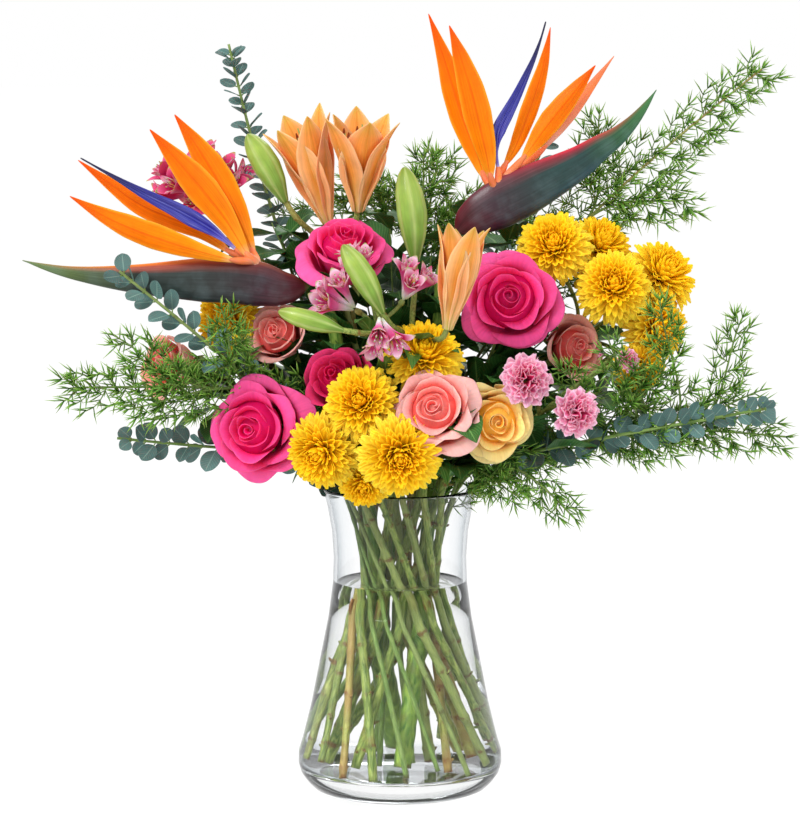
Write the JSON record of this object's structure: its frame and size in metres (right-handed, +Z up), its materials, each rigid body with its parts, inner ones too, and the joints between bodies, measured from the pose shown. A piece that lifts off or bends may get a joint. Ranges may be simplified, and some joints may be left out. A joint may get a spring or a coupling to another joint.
{
  "type": "bird of paradise flower bouquet in a glass vase",
  "caption": "Bird of paradise flowers among roses, lilies, chrysanthemums and foliage, cut stems spiralled in a waisted clear glass vase of water.",
  "frame": {"origin": "centre of the vase's flat underside", "axes": "+Z up along the vase's axis; -Y is the front, where most flowers face; +X is to the right seen from the front"},
  "size_m": [0.5655, 0.2392, 0.583],
  "materials": {
    "glass": "clear, polished",
    "water": "clear liquid",
    "stem": "smooth green skin with brownish knuckles",
    "spathe": "waxy, blue-green shading to red along the upper edge",
    "sepal_orange": "satin, fine lengthwise veins",
    "petal_blue": "satin",
    "rose_pink": "velvety petals",
    "rose_red": "velvety petals",
    "rose_salmon": "velvety petals",
    "rose_peach": "velvety petals",
    "rose_coral": "velvety petals",
    "chrysanthemum": "many narrow petals",
    "lily": "satin petals with a green-yellow midrib",
    "lily_bud": "smooth, ribbed",
    "carnation": "ruffled petals",
    "alstroemeria": "streaked petals",
    "eucalyptus": "matt, waxy bloom",
    "fern": "fine needles"
  },
  "bodies": {
    "root": {"alstroemeria_front_spray": "alstroemeria", "alstroemeria_left_spray": "alstroemeria", "bird_left_blue_petals": "petal_blue", "bird_left_sepal_beak_lower": "sepal_orange", "bird_left_sepal_beak_upper": "sepal_orange", "bird_left_sepal_top_back": "sepal_orange", "bird_left_sepal_top_front": "sepal_orange", "bird_left_spathe": "spathe", "bird_left_stem": "stem", "bird_right_blue_petals": "petal_blue", "bird_right_sepal_back": "sepal_orange", "bird_right_sepal_beak": "sepal_orange", "bird_right_sepal_front": "sepal_orange", "bird_right_sepal_middle": "sepal_orange", "bird_right_sepal_pale": "sepal_orange", "bird_right_spathe": "spathe", "bird_right_stem": "stem", "carnation_spray": "carnation", "chrysanthemum_front_spray": "chrysanthemum", "chrysanthemum_left_spray": "chrysanthemum", "chrysanthemum_right_spray": "chrysanthemum", "eucalyptus_back_spray": "eucalyptus", "eucalyptus_left_spray": "eucalyptus", "eucalyptus_low_left_spray": "eucalyptus", "eucalyptus_right_spray": "eucalyptus", "eucalyptus_top_left_spray": "eucalyptus", "fern_back_spray": "fern", "fern_left_spray": "fern", "fern_low_spray": "fern", "fern_right_spray": "fern", "fern_top_right_spray": "fern", "lily_back_stem": "stem", "lily_bud_front": "lily_bud", "lily_bud_left": "lily_bud", "lily_bud_low": "lily_bud", "lily_bud_tall": "lily_bud", "lily_centre_bloom": "lily", "lily_front_bloom": "lily", "lily_front_stem": "stem", "lily_left_bloom": "lily", "rose_coral_left_bloom": "rose_coral", "rose_coral_left_stem": "stem", "rose_coral_middle_bloom": "rose_coral", "rose_coral_middle_stem": "stem", "rose_coral_right_bloom": "rose_coral", "rose_coral_right_stem": "stem", "rose_peach_bloom": "rose_peach", "rose_peach_stem": "stem", "rose_pink_left_bloom": "rose_pink", "rose_pink_left_stem": "stem", "rose_pink_right_bloom": "rose_pink", "rose_pink_right_stem": "stem", "rose_pink_upper_bloom": "rose_pink", "rose_pink_upper_stem": "stem", "rose_red_bloom": "rose_red", "rose_red_stem": "stem", "rose_salmon_bloom": "rose_salmon", "rose_salmon_stem": "stem", "vase": "glass", "water": "water"}
  },
  "joints": []
}
